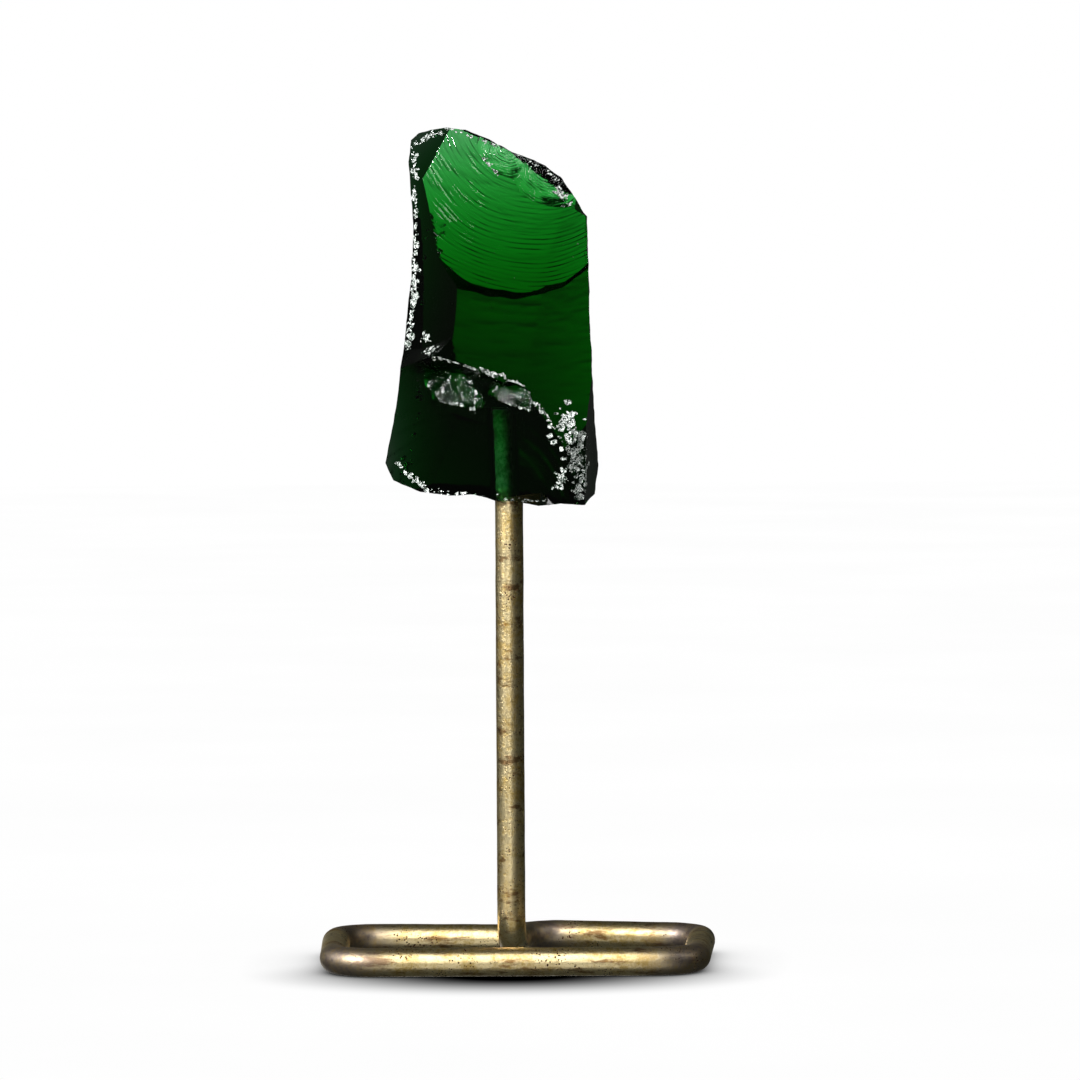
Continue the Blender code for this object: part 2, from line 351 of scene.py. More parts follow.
def effect_group(
    name: str, inputs: dict[str, float], outputs: Iterable[str]
) -> tuple[NodeTree, bpy.types.Node, bpy.types.Node]:
    """Starts a shader node group with number inputs and outputs.

    Args:
        name: the group's name.
        inputs: each number input with its default.
        outputs: the names of the number outputs.

    Returns:
        The wrapped tree, the group's input node and its output node.
    """
    tree = bpy.data.node_groups.new(name, "ShaderNodeTree")
    tree.interface.new_socket("Vector", in_out="INPUT", socket_type="NodeSocketVector")
    for label, value in inputs.items():
        socket = tree.interface.new_socket(label, in_out="INPUT", socket_type="NodeSocketFloat")
        socket.default_value = value
    for label in outputs:
        tree.interface.new_socket(label, in_out="OUTPUT", socket_type="NodeSocketFloat")
    net = NodeTree(tree)
    return net, net.add("NodeGroupInput"), net.add("NodeGroupOutput")


class Effects:
    """The shader node groups that more than one finish uses, each built once."""

    def __init__(self) -> None:
        """Builds the groups."""
        self.mottle = self._mottle()
        self.specks = self._specks()

    def _mottle(self, grain_over_tone: float = 7.0) -> bpy.types.NodeTree:
        """Builds broad uneven tone with a fine grain in it.

        Args:
            grain_over_tone: how many times finer the grain is.

        Returns:
            The group.
        """
        net, given, out = effect_group("mottle", {"Scale": 300.0, "Detail Share": 0.4}, ("Tone", "Grain"))
        place, scale = given.outputs["Vector"], given.outputs["Scale"]
        broad = net.feed(net.add("ShaderNodeTexNoise"), Vector=place, Scale=scale, Detail=4.0, Roughness=0.6)
        finer = net.maths("MULTIPLY", scale, grain_over_tone)
        fine = net.feed(net.add("ShaderNodeTexNoise"), Vector=place, Scale=finer, Detail=3.0, Roughness=0.65)
        mixed = net.add("ShaderNodeMix", data_type="FLOAT")
        net.feed(mixed, i0=given.outputs["Detail Share"], i2=broad.outputs[0], i3=fine.outputs[0])
        net.feed(out, Tone=mixed.outputs[0], Grain=fine.outputs[0])
        return net.tree

    def _specks(
        self, patch: float = 0.13, patch_edge: float = 5.0, speck_edge: float = 12.0
    ) -> bpy.types.NodeTree:
        """Builds small scattered specks or pits.

        Args:
            patch: the scale of the patches that they gather in, as a share of their own.
            patch_edge: how sharply a patch ends.
            speck_edge: how sharply a speck ends.

        Returns:
            The group.
        """
        net, given, out = effect_group("specks", {"Scale": 1500.0, "Size": 0.3, "Patchiness": 0.5}, ("Mask",))
        place, scale = given.outputs["Vector"], given.outputs["Scale"]
        cells = net.feed(net.add("ShaderNodeTexVoronoi"), Vector=place, Scale=scale)
        wide = net.maths("MULTIPLY", scale, patch)
        where = net.feed(net.add("ShaderNodeTexNoise"), Vector=place, Scale=wide, Detail=2.0)
        room = net.maths("SUBTRACT", where.outputs[0], given.outputs["Patchiness"])
        room = net.maths("MULTIPLY", room, patch_edge, clamp=True)
        edge = net.maths("MULTIPLY", given.outputs["Size"], room)
        gap = net.maths("SUBTRACT", edge, cells.outputs["Distance"])
        net.feed(out, Mask=net.maths("MULTIPLY", gap, speck_edge, clamp=True))
        return net.tree


# Finishes


@dataclass(frozen=True)
class GlassFinish:
    """Clear green glass with fine hackle lines, faint haze and a few specks."""

    name: str = "green_glass_fracture"
    tint: Colour = (0.93, 1.0, 0.94, 1.0)
    dusty: Colour = (0.55, 0.62, 0.55, 1.0)
    absorbed: Colour = (0.14, 0.75, 0.30, 1.0)
    density: float = 800.0
    ior: float = 1.5
    mottle_scale: float = 220.0
    speck_scale: float = 900.0
    speck_size: float = 0.22
    speck_patches: float = 0.52
    speck_rough: float = 0.35
    haze_tone: Span = (0.45, 0.75)
    haze: Span = (0.02, 0.08)
    hackle_strength: float = 0.12
    hackle_depth: float = 0.00012

    def build(self, effects: Effects) -> bpy.types.Material:
        """Builds the material.

        Args:
            effects: the shared node groups.

        Returns:
            The material.
        """
        material, net, shader, place = new_material(self.name)
        mottle = net.group(effects.mottle, place, Scale=self.mottle_scale)
        specks = net.group(
            effects.specks, place, Scale=self.speck_scale, Size=self.speck_size, Patchiness=self.speck_patches
        )
        colour = net.blend(specks.outputs[0], self.tint, self.dusty)
        haze = net.spread(mottle.outputs["Tone"], *self.haze_tone, *self.haze)
        rough = net.maths("ADD", haze, net.maths("MULTIPLY", specks.outputs[0], self.speck_rough), clamp=True)
        hackle = net.feed(
            net.add("ShaderNodeBump"),
            Strength=self.hackle_strength,
            Distance=self.hackle_depth,
            Height=mottle.outputs["Grain"],
        )
        net.feed(
            shader,
            Base_Color=colour,
            Roughness=rough,
            IOR=self.ior,
            Transmission_Weight=1.0,
            Normal=hackle.outputs[0],
        )
        inside = net.feed(net.add("ShaderNodeVolumeAbsorption"), Color=self.absorbed, Density=self.density)
        net.feed(net.tree.nodes["Material Output"], Volume=inside.outputs[0])
        return material


@dataclass(frozen=True)
class BruisedFinish:
    """Crushed glass on chipped edges: whitish, sugary and broken up by dark gaps. Its white veins are partly
    the crushed glass's own colour and partly painted glints.
    """

    name: str = "bruised_glass_edge"
    # white of the veins: partly the crushed glass's own colour, partly painted glints
    crushed_white_and_glint: Colour = (0.95, 1.0, 0.96, 1.0)
    deep: Colour = (0.004, 0.022, 0.008, 1.0)
    ior: float = 1.5
    vein_scale: float = 2300.0
    vein_grain: float = 0.15
    vein_width: Span = (0.05, 0.02)
    patch_scale: float = 700.0
    patch_tone: Span = (0.36, 0.52)
    grain_tone: Span = (0.3, 0.7)
    rough: Span = (0.12, 0.4)
    sugar_strength: float = 0.7
    sugar_depth: float = 0.0003

    def build(self, effects: Effects) -> bpy.types.Material:
        """Builds the material. White veins, partly the crushed glass's own colour and partly painted glints,
        run where the tone crosses its middle, inside the patches.

        Args:
            effects: the shared node groups.

        Returns:
            The material.
        """
        material, net, shader, place = new_material(self.name)
        mottle = net.group(effects.mottle, place, Scale=self.vein_scale, Detail_Share=self.vein_grain)
        patches = net.group(effects.mottle, place, Scale=self.patch_scale)
        white_and_glint_veins = net.maths("ABSOLUTE", net.maths("SUBTRACT", mottle.outputs["Tone"], 0.5))
        where = net.spread(patches.outputs["Tone"], *self.patch_tone)
        share = net.maths("MULTIPLY", net.spread(white_and_glint_veins, *self.vein_width), where)
        # white veins on the dark: partly crushed glass's own whiteness, partly painted glints
        colour = net.blend(share, self.deep, self.crushed_white_and_glint)
        rough = net.spread(mottle.outputs["Grain"], *self.grain_tone, *self.rough)
        sugar = net.feed(
            net.add("ShaderNodeBump"),
            Strength=self.sugar_strength,
            Distance=self.sugar_depth,
            Height=mottle.outputs["Tone"],
        )
        net.feed(shader, Base_Color=colour, Roughness=rough, IOR=self.ior, Normal=sugar.outputs[0])
        return material


@dataclass(frozen=True)
class BrassFinish:
    """Antique brass: worn bright in the middle of the runs, brown and grey tarnish, pits and smears."""

    name: str = "antique_brass_wire"
    bright: Colour = (0.80, 0.66, 0.37, 1.0)
    olive: Colour = (0.48, 0.33, 0.10, 1.0)
    brown: Colour = (0.20, 0.085, 0.022, 1.0)
    grey: Colour = (0.20, 0.16, 0.135, 1.0)
    pit: Colour = (0.055, 0.022, 0.014, 1.0)
    resin: Colour = (0.34, 0.36, 0.33, 1.0)
    thin_resin: Colour = (0.10, 0.11, 0.10, 1.0)
    mottle_scale: float = 260.0
    worn_tone: Span = (0.36, 0.58)
    smear_scale: float = 520.0
    smear_stretch: tuple[float, float, float] = (0.25, 1.0, 1.0)
    smear_tone: Span = (0.52, 0.64)
    smear_share: float = 0.8
    stain_tone: Span = (0.56, 0.74)
    stain_share: float = 0.6
    tarnish_tone: Span = (0.3, 0.6)
    tarnish_share: Span = (0.55, 1.0)
    tarnish_rough: float = 0.15
    pit_scale: float = 2200.0
    pit_size: float = 0.34
    pit_patches: float = 0.44
    pit_rough: float = 0.25
    rough_tone: Span = (0.3, 0.7)
    rough: Span = (0.38, 0.28)
    grain_strength: float = 0.35
    grain_depth: float = 0.00015

    def build(self, effects: Effects) -> bpy.types.Material:
        """Builds the material. The wire's bend attribute says where tarnish gathers, and its glue
        attribute where cloudy resin covers it in the stone's hole.

        Args:
            effects: the shared node groups.

        Returns:
            The material.
        """
        material, net, shader, place = new_material(self.name)
        bend = net.add("ShaderNodeAttribute", attribute_name="bend").outputs["Fac"]
        glue = net.add("ShaderNodeAttribute", attribute_name="glue").outputs["Fac"]
        mottle = net.group(effects.mottle, place, Scale=self.mottle_scale)
        pits = net.group(
            effects.specks, place, Scale=self.pit_scale, Size=self.pit_size, Patchiness=self.pit_patches
        )
        tone, grain = mottle.outputs["Tone"], mottle.outputs["Grain"]

        worn = net.spread(tone, *self.worn_tone)
        colour = net.blend(worn, self.olive, self.bright)
        stretched = net.feed(net.add("ShaderNodeMapping"), Vector=place, Scale=self.smear_stretch)
        smear = net.feed(
            net.add("ShaderNodeTexNoise"),
            Vector=stretched.outputs[0],
            Scale=self.smear_scale,
            Detail=5.0,
            Roughness=0.7,
        )
        colour = net.blend(
            net.spread(smear.outputs[0], *self.smear_tone, 0.0, self.smear_share), colour, self.brown
        )
        colour = net.blend(net.spread(grain, *self.stain_tone, 0.0, self.stain_share), colour, self.brown)
        gathers = net.spread(tone, *self.tarnish_tone, *self.tarnish_share)
        tarnish = net.maths("MULTIPLY", bend, gathers, clamp=True)
        colour = net.blend(tarnish, colour, self.grey)
        colour = net.blend(pits.outputs[0], colour, self.pit)
        colour = net.blend(glue, colour, net.blend(worn, self.resin, self.thin_resin))

        rough = net.spread(tone, *self.rough_tone, *self.rough)
        rough = net.maths("ADD", rough, net.maths("MULTIPLY", tarnish, self.tarnish_rough))
        rough = net.maths("ADD", rough, net.maths("MULTIPLY", pits.outputs[0], self.pit_rough), clamp=True)
        height = net.maths("SUBTRACT", grain, pits.outputs[0])
        bump = net.feed(
            net.add("ShaderNodeBump"), Strength=self.grain_strength, Distance=self.grain_depth, Height=height
        )
        bare = net.maths("SUBTRACT", 1.0, glue, clamp=True)
        net.feed(shader, Base_Color=colour, Metallic=bare, Roughness=rough, Normal=bump.outputs[0])
        return material


# Stone


@dataclass(frozen=True)
class Scar:
    """One cut left by a flake that came off, as a turned cutter with a rippled floor.

    Attributes:
        name: what the scar is called.
        impact: the point that its ripples run round.
        outward: the direction that its floor faces.
        reach: the radius of the floor.
        bulb: how deep the pit at the impact is.
        dish: how far the floor sags half way out.
        swell: the height of a ripple.
        ripples: how many ripples there are.
        lean: how far the cutter's side leans out, in degrees.
        rib: the height of the fine uneven lines.
        rib_pitch: how far apart these are.
        step: how far apart the rings of the cutter's mesh are.
        sides: how many sides the rings have.
        rim: the centre and radius of the plug that trims the scar, where it has a rim of its own.
        seed: which stretch of the noise the scar reads.
        bowl: how far the floor sags in the middle.
        tip: how far the floor tips at its edge.
    """

    name: str
    impact: Point
    outward: Point
    reach: float
    bulb: float = 0.0
    dish: float = 0.5
    swell: float = 0.05
    ripples: float = 10.0
    lean: float = 45.0
    rib: float = 0.02
    rib_pitch: float = 0.7
    step: float = 0.5
    sides: int = 96
    rim: tuple[Point, float] | None = None
    seed: float = 0.0
    bowl: float = 0.0
    tip: float = 0.0
    STEEP: ClassVar[float] = 0.17
    BULB_SHARE: ClassVar[float] = 0.22
    WANDER: ClassVar[float] = 0.9
    WANDER_TURN: ClassVar[float] = 1.7
    WANDER_RATE: ClassVar[float] = 0.13
    STRENGTH: ClassVar[float] = 0.7
    STRENGTH_RANGE: ClassVar[float] = 1.9
    STRENGTH_LIMITS: ClassVar[tuple[float, float]] = (0.05, 1.6)
    STRENGTH_TURN: ClassVar[tuple[float, float]] = (1.5, 0.2)
    STRENGTH_RATE: ClassVar[float] = 0.8
    RIB_TURN: ClassVar[tuple[float, float]] = (2.0, 0.22)
    RIB_FINER: ClassVar[float] = 2.3
    RIB_CREST: ClassVar[float] = 2.5
    RIB_FADE: ClassVar[float] = 8.0
    DRIFT_RATE: ClassVar[float] = 2.2
    DRIFT_SHARE: ClassVar[float] = 0.035
    DRIFT_UPWARD: ClassVar[float] = 0.25
    LEAST_RINGS: ClassVar[int] = 8
    PLUG_SIDES: ClassVar[int] = 160
    PLUG_RINGS: ClassVar[int] = 30
    PLUG_WAVE: ClassVar[float] = 0.5
    PLUG_WAVE_RATE: ClassVar[float] = 0.35
    PLUG_WAVE_START: ClassVar[Point] = (9, 0, 0)

    def floor(self, radius: float, angle: float) -> float:
        """Gives the height of the scar's floor over its plane.

        Args:
            radius: the distance from the impact.
            angle: the direction from the impact, in radians.

        Returns:
            The height, where up is towards the viewer.
        """
        share = radius / self.reach
        turn = Vector((math.cos(angle), math.sin(angle), 0.0))
        bulb = self.bulb * math.exp(-((share / self.BULB_SHARE) ** 2))
        hollow = self.dish * 4 * share * (1 - share) + self.bowl * (1 - share * share)
        hollow += self.tip * share * math.sin(angle)
        return self._ripple(share, radius, turn) - bulb - hollow + self._ribs(share, radius, turn)

    def _ripple(self, share: float, radius: float, turn: Vector) -> float:
        """Gives the height of the ripples, which rise slowly and fall steeply.

        Args:
            share: the distance from the impact, as a share of the reach.
            radius: the same distance.
            turn: the direction from the impact.

        Returns:
            The height over the ripples' middle.
        """
        wander = noise.noise(turn * self.WANDER_TURN + Vector((self.seed, 0, radius * self.WANDER_RATE)))
        phase = self.ripples * share + self.WANDER * wander
        part = phase - math.floor(phase)
        rise = part / (1 - self.STEEP) if part < 1 - self.STEEP else (1 - part) / self.STEEP
        still, growth = self.STRENGTH_TURN
        spot = turn * (still + radius * growth) + Vector((0, self.seed, radius * self.STRENGTH_RATE))
        strength = self.STRENGTH + self.STRENGTH_RANGE * noise.noise(spot)
        weakest, strongest = self.STRENGTH_LIMITS
        return self.swell * math.sqrt(share) * min(max(strength, weakest), strongest) * (2 * rise - 1)

    def _ribs(self, share: float, radius: float, turn: Vector) -> float:
        """Gives the height of the fine uneven lines that follow the ripples.

        Args:
            share: the distance from the impact, as a share of the reach.
            radius: the same distance.
            turn: the direction from the impact.

        Returns:
            The height.
        """
        still, growth = self.RIB_TURN
        lines = turn * (still + radius * growth) + Vector((self.seed, self.seed, radius / self.rib_pitch))
        rib = abs(noise.noise(lines)) + 0.5 * abs(noise.noise(lines * self.RIB_FINER))
        return self.rib * (1 - self.RIB_CREST * rib) * min(1.0, share * self.RIB_FADE)

    def drift(self, place: Vector) -> Vector:
        """Gives the slow sideways shift that keeps the ripples from perfect rings.

        Args:
            place: a point of the cutter, from its own origin.

        Returns:
            The shift.
        """
        spot = place * (self.DRIFT_RATE / self.reach) + Vector((self.seed, 0, 0))
        shift = drift_at(spot) * self.reach * self.DRIFT_SHARE
        return Vector((shift.x, shift.y, shift.z * self.DRIFT_UPWARD))

    def cutter(self, height: float, rim_depth: float) -> bpy.types.Object:
        """Builds the cutter in place.

        Args:
            height: how far the cutter reaches out of the stone.
            rim_depth: how far the plug that trims it reaches under its plane.

        Returns:
            The cutter.
        """
        rings = max(self.LEAST_RINGS, round(self.reach / self.step))
        bm = bmesh.new()
        radii = [self.reach * ring / rings for ring in range(rings + 1)]
        spread = height * math.tan(math.radians(self.lean))
        section = [bm.verts.new((radius, 0, 0)) for radius in radii]
        section += [bm.verts.new((self.reach + spread, 0, height)), bm.verts.new((0, 0, height))]
        edges = [bm.edges.new(pair) for pair in zip(section, section[1:])]
        turn_full(bm, section + edges, self.sides)
        for vert in bm.verts:
            if vert.co.z < height / 2:
                radius = math.hypot(vert.co.x, vert.co.y)
                vert.co.z = self.floor(radius, math.atan2(vert.co.y, vert.co.x))
                vert.co += self.drift(vert.co)
        cutter = closed_piece("cut_" + self.name, bm, aim(self.impact, self.outward))
        if self.rim is not None:
            carve(cutter, self._plug(height, rim_depth), Carving.KEEP_ONLY)
        return cutter

    def _plug(self, height: float, rim_depth: float) -> bpy.types.Object:
        """Builds the flared plug that trims a scar to its own rim.

        Args:
            height: how far it reaches out of the stone.
            rim_depth: how far it reaches under the scar's plane.

        Returns:
            The plug.
        """
        centre, radius = self.rim
        slope = math.tan(math.radians(self.lean))
        bm = bmesh.new()
        bmesh.ops.create_cone(
            bm,
            cap_ends=True,
            segments=self.PLUG_SIDES,
            radius1=radius - rim_depth * slope,
            radius2=radius + height * slope,
            depth=rim_depth + height,
        )
        bmesh.ops.translate(bm, verts=bm.verts, vec=(0, 0, (height - rim_depth) / 2))
        cuts = [edge for edge in bm.edges if abs(edge.verts[0].co.z - edge.verts[1].co.z) > 1]
        bmesh.ops.subdivide_edges(bm, edges=cuts, cuts=self.PLUG_RINGS, use_grid_fill=True)
        start = Vector(self.PLUG_WAVE_START)
        for vert in bm.verts:
            away = Vector((vert.co.x, vert.co.y, 0)).normalized()
            vert.co += away * self.PLUG_WAVE * noise.noise(vert.co * self.PLUG_WAVE_RATE + start)
        return closed_piece("plug", bm, aim(centre, self.outward))


@dataclass(frozen=True)
class Bite:
    """One small bite: where its middle is, which way the surface faces there, and its size."""

    centre: Vector
    normal: Vector
    size: float


@dataclass(frozen=True)
class Crumble:
    """A run of small bites, along an edge or over a patch, from one point to another.

    Attributes:
        name: what the run is called.
        start: where it starts.
        end: where it ends.
        spread: how far the bites stray from the line between the two.
        small: the size of the smallest bite.
        large: the size of the largest, of which there are few.
        count: how many bites there are.
    """

    name: str
    start: Point
    end: Point
    spread: float
    small: float
    large: float
    count: int


@dataclass
class StoneChunk:
    """The rough green glass chunk, carved from a slab by fracture scars and crumbled at its edges."""

    front: float = -13.0
    back: float = 12.0
    cutter_height: float = 30.0
    rim_depth: float = 5.0
    hole_radius: float = 2.425
    hole_start: float = 60.0
    hole_floor: float = 83.8
    hole_tip: float = 1.2
    hole_sides: int = 64
    wall_cuts: int = 40
    rim_cuts: int = 5
    rim_edge: float = 1.0
    wave_rates: Span = (0.5, 1.6)
    wave_sizes: Span = (0.16, 0.07)
    bite_seed: int = 11
    bite_stray: float = 0.55
    bite_digits: int = 3
    bite_around: float = 0.05
    bite_fewer_large: float = 2.2
    bite_lift: Span = (0.15, 0.6)
    bite_gap: float = 1.9
    lump_seed: int = 23
    lump_uneven: Span = (0.72, 1.15)
    lump_length: Span = (1.0, 1.7)
    lump_width: Span = (0.7, 1.1)
    lump_depth: Span = (0.4, 0.75)
    lump_tilt: float = 0.5
    weld: float = 0.0005
    bitten_from: float = 0.02
    sharp_angle: float = 28.0
    outline: tuple[tuple[float, float], ...] = (
        (-9.0, 125.0), (-6.3, 124.7), (-2.7, 123.2), (0.9, 121.3), (5.6, 119.4), (7.9, 117.6),
        (9.7, 115.0), (11.8, 111.5), (12.0, 104.5), (12.1, 96.5), (12.5, 87.1), (12.9, 80.0),
        (13.4, 74.5), (12.8, 70.2), (11.3, 68.9), (7.6, 69.0), (4.4, 68.5), (2.1, 69.0),
        (-2.1, 69.4), (-5.1, 70.2), (-9.0, 70.0), (-13.3, 70.5), (-17.4, 72.2), (-18.6, 74.8),
        (-17.0, 82.2), (-15.6, 92.7), (-14.5, 102.7), (-14.1, 110.0), (-14.8, 120.0), (-14.4, 123.3),
        (-13.3, 124.3), (-11.6, 124.8),
    )
    scars: tuple[Scar, ...] = (
        Scar(
            "front_face", impact=(3, -3.4, 128), outward=(0.05, -0.985, 0.16), reach=75, dish=0.8,
            swell=0.02, ripples=44, rib=0.03, rib_pitch=1.1, step=0.25, sides=200,
        ),
        Scar(
            "left_side", impact=(-12.7, 0.9, 121), outward=(-0.8, -0.594, 0.073), reach=29, dish=0.9,
            swell=0.03, ripples=9, lean=50, rib=0.012, rib_pitch=0.8, sides=64, seed=5,
        ),
        Scar(
            "front_scar", impact=(4.9, 1.4, 127.5), outward=(-0.08, -0.965, 0.245), reach=33, bulb=0.6,
            swell=0.032, ripples=46, lean=35, rib=0.014, rib_pitch=0.35, step=0.09, sides=240,
            rim=((1.7, -1.5, 115.3), 15.5), seed=10,
        ),
        Scar(
            "top_left", impact=(-14, 5.6, 125), outward=(-0.5, -0.75, 0.43), reach=14, dish=0.4,
            swell=0.03, ripples=6, rib=0.01, rib_pitch=0.6, step=0.35, sides=72, seed=15,
        ),
        Scar(
            "top_flake", impact=(0.2, 1.7, 121.8), outward=(0.08, -0.93, 0.36), reach=4.7, bulb=0.2,
            dish=0.4, swell=0.04, ripples=9, lean=35, rib_pitch=0.4, step=0.05, seed=20,
        ),
        Scar(
            "right_flake", impact=(6.3, 1.5, 118.9), outward=(0.2, -0.925, 0.32), reach=5.9, bulb=0.3,
            ripples=13, lean=30, rib_pitch=0.35, step=0.05, sides=110, seed=25,
        ),
        Scar(
            "right_chip", impact=(10.2, 0.8, 115.2), outward=(0.6, -0.72, 0.35), reach=2.8, bulb=0.2,
            dish=0.2, swell=0.02, ripples=4, lean=40, rib=0.01, rib_pitch=0.4, step=0.15, sides=48,
            seed=30,
        ),
        Scar(
            "low_scar", impact=(-9.0, -1.4, 64.0), outward=(-0.42, -0.9, -0.1), reach=24.6, dish=1.7,
            swell=0.04, lean=38, rib=0.012, rib_pitch=0.9, step=0.3, sides=140, seed=35,
        ),
        Scar(
            "left_hollow", impact=(-7.9, -2.6, 85.0), outward=(-0.35, -0.935, 0), reach=3.5, dish=0,
            swell=0.08, ripples=5, lean=12, rib=0.11, rib_pitch=0.9, step=0.05, sides=150, seed=40,
            bowl=0.15, tip=0.95,
        ),
        Scar(
            "left_hollow_side", impact=(-10.6, -2.1, 87.0), outward=(-0.4, -0.915, 0), reach=1.7,
            dish=0, ripples=3, lean=14, rib=0.08, step=0.05, sides=84, seed=41, bowl=0.1, tip=0.5,
        ),
        Scar(
            "left_hollow_foot", impact=(-5.2, -4.1, 84.0), outward=(-0.35, -0.935, 0), reach=1.8,
            dish=0, ripples=3, lean=14, rib=0.08, step=0.05, sides=84, seed=43, bowl=0.1, tip=0.5,
        ),
        Scar(
            "right_hollow", impact=(0.8, -7.6, 83.8), outward=(-0.35, -0.935, 0), reach=2.9, dish=0,
            swell=0.07, ripples=5, lean=12, rib=0.1, rib_pitch=0.8, step=0.05, sides=130, seed=42,
            bowl=0.12, tip=0.8,
        ),
        Scar(
            "right_hollow_side", impact=(-1.6, -6.6, 85.2), outward=(-0.35, -0.935, 0), reach=1.5,
            dish=0, ripples=3, lean=14, rib=0.08, step=0.05, sides=72, seed=44, bowl=0.1, tip=0.4,
        ),
        Scar(
            "low_right", impact=(9.5, -9.2, 66), outward=(0.5, -0.86, -0.12), reach=17, dish=0.7,
            swell=0.04, ripples=9, lean=35, rib=0.012, rib_pitch=0.5, step=0.3, sides=72, seed=45,
        ),
        Scar(
            "back_face", impact=(2, 6.2, 128), outward=(0.02, 0.99, 0.08), reach=46, bulb=1.0, dish=1.3,
            swell=0.06, ripples=12, lean=30, rib=0.015, rib_pitch=0.9, step=0.4, sides=128, seed=50,
        ),
        Scar(
            "back_low", impact=(4, 8.8, 64), outward=(0.05, 0.985, -0.16), reach=30, bulb=0.5, dish=1.2,
            ripples=8, lean=35, rib=0.015, rib_pitch=0.9, step=0.4, seed=55,
        ),
        Scar(
            "back_left", impact=(-15.5, 7.0, 68), outward=(-0.52, 0.85, 0.06), reach=44, dish=0.8,
            swell=0.04, ripples=8, rib=0.015, rib_pitch=0.9, seed=60,
        ),
        Scar(
            "back_right", impact=(12.0, 4.9, 118), outward=(0.28, 0.955, 0.06), reach=52, dish=0.9,
            swell=0.04, ripples=9, rib=0.015, rib_pitch=0.9, seed=65,
        ),
        Scar(
            "right_face", impact=(12.3, -2, 113), outward=(0.999, 0.0, 0.037), reach=36, dish=0.25,
            swell=0.03, ripples=8, rib=0.012, rib_pitch=0.9, seed=68,
        ),
        Scar(
            "right_wall", impact=(13.9, -5, 92), outward=(0.97, -0.225, -0.065), reach=30, swell=0.04,
            rib=0.015, rib_pitch=0.9, step=0.4, seed=70,
        ),
        Scar(
            "top_back", impact=(-13, 5.6, 127.3), outward=(0.35, 0.45, 0.82), reach=34, dish=0.4,
            swell=0.03, ripples=6, rib=0.012, sides=80, seed=75,
        ),
        Scar(
            "top_right_back", impact=(6.0, 3.0, 119.3), outward=(0.45, 0.66, 0.6), reach=6.5, dish=0.2,
            swell=0.03, ripples=5, rib=0.012, step=0.3, sides=80, seed=78,
        ),
        Scar(
            "base_back", impact=(-12, 3.5, 68.2), outward=(-0.05, 0.5, -0.86), reach=40, swell=0.03,
            ripples=6, rib=0.012, rib_pitch=0.8, step=0.6, sides=80, seed=80,
        ),
        Scar(
            "base_front", impact=(-14, -1, 68.6), outward=(-0.1, -0.6, -0.79), reach=20, dish=0.4,
            swell=0.03, ripples=6, rib=0.012, rib_pitch=0.8, sides=80, seed=85,
        ),
    )
    crumbles: tuple[Crumble, ...] = (
        Crumble(
            "left_edge_high", start=(-14.6, 2.6, 122.0), end=(-13.9, 2.0, 106.0), spread=0.6,
            small=0.14, large=0.6, count=170,
        ),
        Crumble(
            "left_edge_low", start=(-13.9, 2.0, 106.0), end=(-14.8, 0.6, 91.0), spread=0.8, small=0.16,
            large=0.8, count=190,
        ),
        Crumble(
            "top_left_rim", start=(-14.6, 4.4, 122.8), end=(-9.0, 2.6, 125.0), spread=0.5, small=0.14,
            large=0.5, count=70,
        ),
        Crumble(
            "top_edge_high", start=(-9.0, 2.7, 125.0), end=(0.9, 1.7, 121.7), spread=0.35, small=0.12,
            large=0.4, count=90,
        ),
        Crumble(
            "top_edge_low", start=(0.9, 1.7, 121.7), end=(9.8, 1.2, 115.9), spread=0.3, small=0.12,
            large=0.35, count=80,
        ),
        Crumble(
            "ridge_start", start=(-15.0, -3.6, 94.4), end=(-10.4, -7.0, 91.4), spread=0.7, small=0.16,
            large=0.6, count=80,
        ),
        Crumble(
            "ridge_high", start=(-10.4, -7.6, 91.4), end=(-1.3, -9.6, 87.8), spread=0.35, small=0.18,
            large=0.6, count=110,
        ),
        Crumble(
            "ridge_low", start=(-1.3, -9.6, 88.4), end=(5.4, -10.4, 83.0), spread=0.35, small=0.16,
            large=0.6, count=80,
        ),
        Crumble(
            "ridge_tail", start=(5.4, -10.4, 83.0), end=(7.8, -10.6, 78.4), spread=0.15, small=0.12,
            large=0.3, count=36,
        ),
        Crumble(
            "glint_left", start=(-10.6, -3.4, 84.4), end=(-5.0, -5.0, 82.6), spread=0.4, small=0.14,
            large=0.4, count=40,
        ),
        Crumble(
            "glint_right", start=(-0.4, -8.2, 83.8), end=(3.0, -8.9, 83.0), spread=0.4, small=0.14,
            large=0.4, count=26,
        ),
        Crumble(
            "right_crumble", start=(8.4, -10.4, 82.0), end=(11.9, -7.6, 70.6), spread=1.9, small=0.18,
            large=0.9, count=250,
        ),
        Crumble(
            "right_crumble_foot", start=(6.2, -9.6, 71.6), end=(10.2, -9.2, 75.0), spread=0.9,
            small=0.16, large=0.6, count=70,
        ),
        Crumble(
            "right_edge", start=(12.7, -6.0, 94.0), end=(12.6, -3.0, 108.0), spread=0.4, small=0.2,
            large=0.55, count=30,
        ),
        Crumble(
            "right_shoulder", start=(7.4, 0.6, 116.6), end=(9.6, -0.8, 113.6), spread=0.7, small=0.15,
            large=0.7, count=50,
        ),
        Crumble(
            "flake_glint", start=(-3.6, 1.0, 120.6), end=(-1.4, 0.4, 117.8), spread=0.25, small=0.2,
            large=0.5, count=26,
        ),
        Crumble(
            "foot_left", start=(-18.2, 0.5, 74.5), end=(-12.5, 0.2, 70.6), spread=0.4, small=0.2,
            large=0.6, count=40,
        ),
        Crumble(
            "foot_edge", start=(-12.5, 0.2, 70.6), end=(11.5, -7.0, 69.0), spread=0.4, small=0.15,
            large=0.5, count=90,
        ),
        Crumble(
            "back_edges", start=(-15.6, 7.0, 72.0), end=(-9.0, 7.6, 110.0), spread=0.8, small=0.3,
            large=0.8, count=40,
        ),
    )

